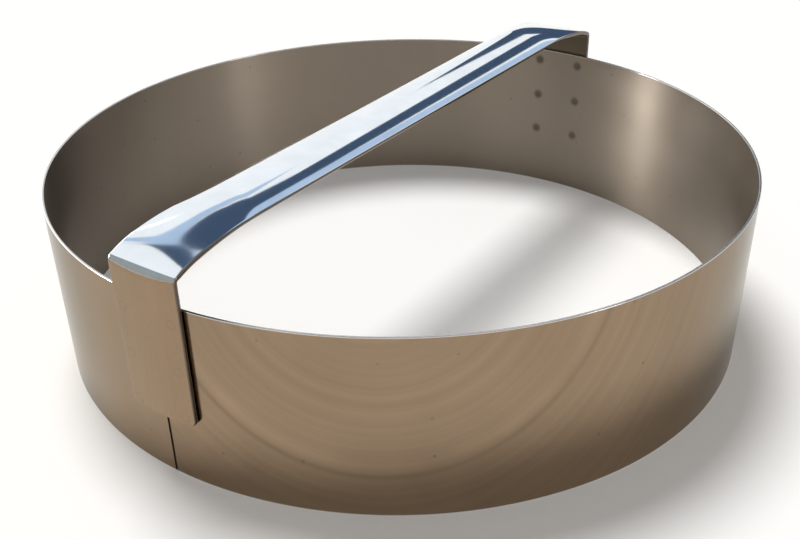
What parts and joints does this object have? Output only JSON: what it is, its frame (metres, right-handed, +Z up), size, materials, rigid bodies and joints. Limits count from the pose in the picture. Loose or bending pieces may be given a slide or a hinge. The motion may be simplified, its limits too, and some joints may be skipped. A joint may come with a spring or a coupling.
{
  "type": "dough cutter",
  "caption": "Round dough cutter: a thin steel ring, open above and below, with a formed strap handle bridging its top and spot welded to its outside at both ends.",
  "frame": {"origin": "centre of the ring, on the plane of its cutting edge", "axes": "+Z up out of the ring towards the handle; X along the strap handle, with the ring's butt joint at -X"},
  "size_m": [0.2436, 0.24, 0.0777],
  "materials": {
    "ring_steel": "bright rolled stainless strip, satin",
    "strap_steel": "mirror-polished stainless steel",
    "weld_steel": "dull, heat-tinted weld mark"
  },
  "bodies": {
    "root": {"cutting_ring": "ring_steel", "strap_handle": "strap_steel", "seam_weld_left_1": "weld_steel", "seam_weld_left_2": "weld_steel", "seam_weld_left_3": "weld_steel", "seam_weld_right_1": "weld_steel", "seam_weld_right_2": "weld_steel", "seam_weld_right_3": "weld_steel", "plain_weld_left_1": "weld_steel", "plain_weld_left_2": "weld_steel", "plain_weld_left_3": "weld_steel", "plain_weld_right_1": "weld_steel", "plain_weld_right_2": "weld_steel", "plain_weld_right_3": "weld_steel"}
  },
  "joints": []
}
